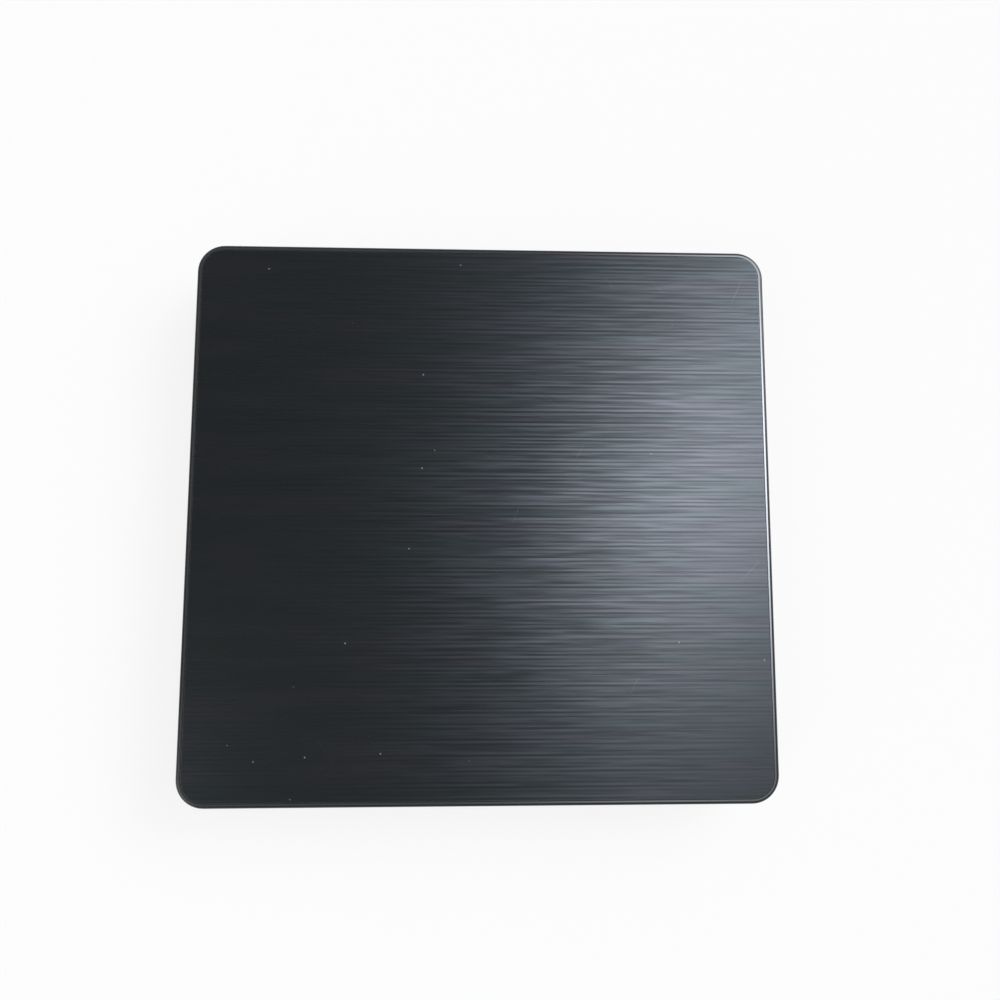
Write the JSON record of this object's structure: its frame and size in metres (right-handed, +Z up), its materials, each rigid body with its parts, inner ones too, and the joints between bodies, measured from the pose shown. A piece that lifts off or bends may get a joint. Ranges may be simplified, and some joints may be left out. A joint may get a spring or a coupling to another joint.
{
  "type": "external dvd drive",
  "caption": "Slim external disc drive: a flat rounded case whose front bezel slides out with the disc tray, spindle, laser sled and eject button.",
  "frame": {"origin": "on the table, under the centre of the case (z = 0 is the underside of the rubber feet)", "axes": "+X across the width, +Y towards the rear with the USB socket (the tray comes out along -Y), +Z up"},
  "size_m": [0.144, 0.1376, 0.014],
  "materials": {
    "gloss_shell": "deep black-grey gloss, moulded",
    "brushed_plate": "dark grey film with fine lines brushed across the width, under clear gloss",
    "black_shell": "fine spark texture, black",
    "tray_plastic": "black, fine texture",
    "bezel_gloss": "black gloss",
    "foot_rubber": "soft black",
    "damper_rubber": "soft black",
    "turntable_rubber": "soft dark grey",
    "pad_foam": "closed-cell foam",
    "screw_steel": "bright zinc",
    "black_screw": "black zinc",
    "pan_steel": "rolled galvanised sheet",
    "deck_steel": "stamped sheet",
    "cover_steel": "dark coated sheet",
    "rail_steel": "greased bright steel",
    "guide_plastic": "natural white acetal",
    "holder_plastic": "black acetal",
    "follower_plastic": "natural white acetal",
    "rod_steel": "ground and polished",
    "motor_steel": "nickel plated",
    "stator_copper": "enamelled winding",
    "hub_plastic": "black",
    "claw_plastic": "natural white",
    "sled_cast": "die-cast",
    "sled_sheet": "thin bright sheet",
    "lens_plastic": "black liquid crystal polymer",
    "lens_glass": "coated, blue tint",
    "board_green": "solder mask over copper",
    "chip_black": "moulded package",
    "socket_plastic": "ivory",
    "usb_steel": "folded tinned shell",
    "usb_plastic": "black",
    "button_gloss": "black gloss",
    "pipe_clear": "clear pipe",
    "led_body": "white",
    "coil_copper": "enamelled winding",
    "plunger_steel": "turned",
    "lever_plastic": "natural white acetal",
    "post_steel": "riveted pin",
    "ejector_plastic": "black",
    "spring_steel": "spring wire",
    "ribbon_film": "white film with tinned lines"
  },
  "bodies": {
    "case": {"top_cover": "gloss_shell", "top_plate": "brushed_plate", "bottom_cover": "black_shell", "rubber_feet": "foot_rubber", "case_screws": "black_screw", "drive_chassis": "pan_steel", "drive_lid": "pan_steel", "lid_pads": "pad_foam", "chassis_screws": "screw_steel", "left_guide": "guide_plastic", "right_guide": "guide_plastic", "main_board": "board_green", "board_screws": "screw_steel", "board_chips": "chip_black", "ribbon_socket": "socket_plastic", "usb_shell": "usb_steel", "usb_tongue": "usb_plastic", "latch_post": "post_steel", "ejector_block": "ejector_plastic", "ejector_spring": "spring_steel", "tray_ribbon": "ribbon_film"},
    "left_rail": {"left_rail": "rail_steel"},
    "right_rail": {"right_rail": "rail_steel"},
    "tray": {"tray": "tray_plastic", "front_bezel": "bezel_gloss", "light_pipe": "pipe_clear", "deck_frame": "deck_steel", "deck_cover": "cover_steel", "deck_dampers": "damper_rubber", "deck_screws": "screw_steel", "motor_base": "deck_steel", "motor_stator": "stator_copper", "motor_screws": "screw_steel", "main_rod": "rod_steel", "guide_rod": "rod_steel", "rod_holders": "holder_plastic", "feed_motor": "motor_steel", "tray_board": "board_green", "tray_chips": "chip_black", "switch_board": "board_green", "eject_switch": "chip_black", "light_source": "led_body", "solenoid_frame": "plunger_steel", "solenoid_coil": "coil_copper"},
    "eject_button": {"eject_button": "button_gloss"},
    "spindle": {"spindle_rotor": "motor_steel", "turntable_ring": "turntable_rubber", "disc_hub": "hub_plastic"},
    "claw_1": {"clamp_claw_1": "claw_plastic"},
    "claw_2": {"clamp_claw_2": "claw_plastic"},
    "claw_3": {"clamp_claw_3": "claw_plastic"},
    "sled": {"sled_base": "sled_cast", "sled_cover": "sled_sheet", "screw_follower": "follower_plastic"},
    "lens": {"lens_holder": "lens_plastic", "objective_lens": "lens_glass"},
    "lead_screw": {"lead_screw": "rod_steel"},
    "latch": {"latch_lever": "lever_plastic"},
    "solenoid_plunger": {"solenoid_plunger": "plunger_steel"},
    "ejector": {"ejector_plunger": "guide_plastic"}
  },
  "joints": [
    {"name": "tray_slide", "type": "slide", "parent": "case", "child": "tray", "axis": [0, -1, 0], "range_m": [0, 0.127], "deforming": ["tray_ribbon"]},
    {"name": "left_rail_slide", "type": "slide", "parent": "case", "child": "left_rail", "axis": [0, -1, 0], "range_m": [0, 0.0635]},
    {"name": "right_rail_slide", "type": "slide", "parent": "case", "child": "right_rail", "axis": [0, -1, 0], "range_m": [0, 0.0635]},
    {"name": "eject_button_press", "type": "slide", "parent": "tray", "child": "eject_button", "axis": [0, 1, 0], "range_m": [0, 0.0005], "stiffness_N_per_m": 1200, "springref_m": -0.0002},
    {"name": "spindle_spin", "type": "hinge", "parent": "tray", "child": "spindle", "pos_m": [0, -0.0036, 0.0085], "axis": [0, 0, 1], "continuous": true},
    {"name": "claw_1_give", "type": "slide", "parent": "spindle", "child": "claw_1", "axis": [-0.7431, -0.6691, 0], "range_m": [0, 0.0004], "stiffness_N_per_m": 600, "springref_m": -0.0002},
    {"name": "claw_2_give", "type": "slide", "parent": "spindle", "child": "claw_2", "axis": [0.9511, -0.309, 0], "range_m": [0, 0.0004], "stiffness_N_per_m": 600, "springref_m": -0.0002},
    {"name": "claw_3_give", "type": "slide", "parent": "spindle", "child": "claw_3", "axis": [-0.2079, 0.9781, 0], "range_m": [0, 0.0004], "stiffness_N_per_m": 600, "springref_m": -0.0002},
    {"name": "sled_slide", "type": "slide", "parent": "tray", "child": "sled", "axis": [0.6691, -0.7431, 0], "range_m": [0, 0.0345]},
    {"name": "lead_screw_spin", "type": "hinge", "parent": "tray", "child": "lead_screw", "pos_m": [0.01042, -0.04132, 0.0052], "axis": [0.6691, -0.7431, 0], "range_deg": [-10, 4150]},
    {"name": "lens_focus", "type": "slide", "parent": "sled", "child": "lens", "axis": [0, 0, 1], "range_m": [-0.0003, 0.0003], "stiffness_N_per_m": 60},
    {"name": "latch_swing", "type": "hinge", "parent": "tray", "child": "latch", "pos_m": [-0.038, -0.056, 0.0038], "axis": [0, 0, 1], "range_deg": [-12, 0]},
    {"name": "solenoid_stroke", "type": "slide", "parent": "tray", "child": "solenoid_plunger", "axis": [1, 0, 0], "range_m": [0, 0.0012]},
    {"name": "ejector_push", "type": "slide", "parent": "case", "child": "ejector", "axis": [0, 1, 0], "range_m": [0, 0.0008], "stiffness_N_per_m": 400, "springref_m": -0.004, "deforming": ["ejector_spring"]}
  ],
  "couplings": [
    {"joint": "left_rail_slide", "follows": "tray_slide", "ratio": 0.5},
    {"joint": "right_rail_slide", "follows": "tray_slide", "ratio": 0.5},
    {"joint": "lead_screw_spin", "follows": "sled_slide", "rad_per_m": 2094.4},
    {"joint": "latch_swing", "follows": "solenoid_stroke", "rad_per_m": -174.53}
  ]
}
